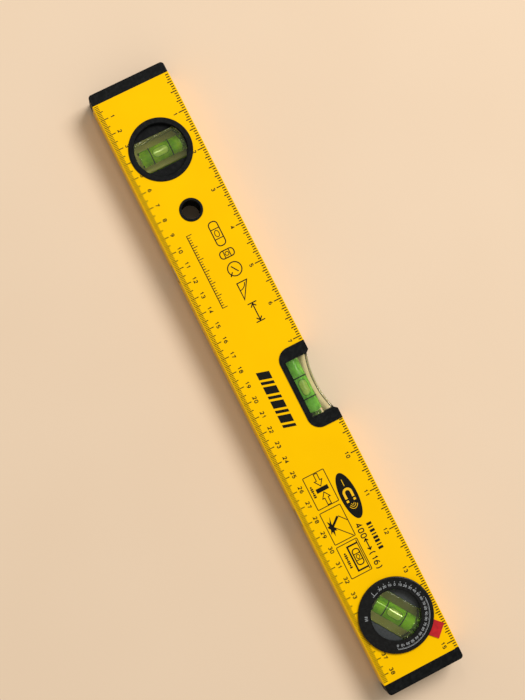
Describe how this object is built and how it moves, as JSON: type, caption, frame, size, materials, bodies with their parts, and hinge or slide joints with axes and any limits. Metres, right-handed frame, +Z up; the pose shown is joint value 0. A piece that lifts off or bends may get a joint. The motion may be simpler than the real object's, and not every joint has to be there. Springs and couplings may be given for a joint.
{
  "type": "spirit level",
  "caption": "Box-section spirit level with a plumb vial, an edge vial, a vial in a turning angle dial, a hanging hole, end caps and a magnetic base edge.",
  "frame": {"origin": "On the surface that the level lies on, under the middle of its box, with the level on its back.", "axes": "+X along the level towards the dial, +Y to the top edge that holds the edge vial, +Z up out of the printed face. In use the base edge, -Y, is laid on the work."},
  "size_m": [0.4, 0.0506, 0.0225],
  "materials": {
    "yellow_coat": "yellow powder coat over aluminium, satin gloss",
    "black_plastic": "fine-grained black moulding",
    "dial_plastic": "smoother black moulding with a white printed scale",
    "red_plastic": "red moulding, semi gloss",
    "acrylic": "clear cast acrylic, polished",
    "plug_plastic": "green translucent stopper",
    "line_paint": "black printed line",
    "vial_liquid": "green-yellow vial liquid",
    "bubble_air": "air bubble",
    "rubber": "plain black rubber",
    "magnet_nickel": "nickel-plated magnet face"
  },
  "bodies": {
    "level": {"profile": "yellow_coat", "end_cap_left": "black_plastic", "end_cap_right": "black_plastic", "plumb_bezel_front": "black_plastic", "plumb_bezel_back": "black_plastic", "plumb_vial_block": "acrylic", "plumb_vial_plug": "plug_plastic", "plumb_vial_lines": "line_paint", "plumb_vial_liquid": "vial_liquid", "hang_sleeve_front": "black_plastic", "hang_sleeve_back": "black_plastic", "centre_frame": "black_plastic", "centre_vial_block": "acrylic", "centre_vial_plug": "plug_plastic", "centre_vial_lines": "line_paint", "centre_vial_liquid": "vial_liquid", "index_collar": "red_plastic", "base_magnets": "magnet_nickel", "magnet_cups": "black_plastic"},
    "dial": {"dial_ring_front": "dial_plastic", "dial_ring_back": "dial_plastic", "dial_friction_ring": "rubber", "dial_vial_block": "acrylic", "dial_vial_plug": "plug_plastic", "dial_vial_lines": "line_paint", "dial_vial_liquid": "vial_liquid"},
    "plumb_bubble": {"plumb_vial_bubble": "bubble_air"},
    "centre_bubble": {"centre_vial_bubble": "bubble_air"},
    "dial_bubble": {"dial_vial_bubble": "bubble_air"}
  },
  "joints": [
    {"name": "dial_turn", "type": "hinge", "parent": "level", "child": "dial", "pos_m": [0.1588, 0, 0.0108], "axis": [0, 0, 1], "continuous": true},
    {"name": "plumb_bubble_run", "type": "slide", "parent": "level", "child": "plumb_bubble", "axis": [0, 1, 0], "range_m": [-0.008, 0.008], "deforming": ["plumb_vial_liquid"]},
    {"name": "centre_bubble_run", "type": "slide", "parent": "level", "child": "centre_bubble", "axis": [1, 0, 0], "range_m": [-0.011, 0.01], "deforming": ["centre_vial_liquid"]},
    {"name": "dial_bubble_run", "type": "slide", "parent": "dial", "child": "dial_bubble", "axis": [0.8387, 0.5446, 0], "range_m": [-0.008, 0.008], "deforming": ["dial_vial_liquid"]}
  ]
}
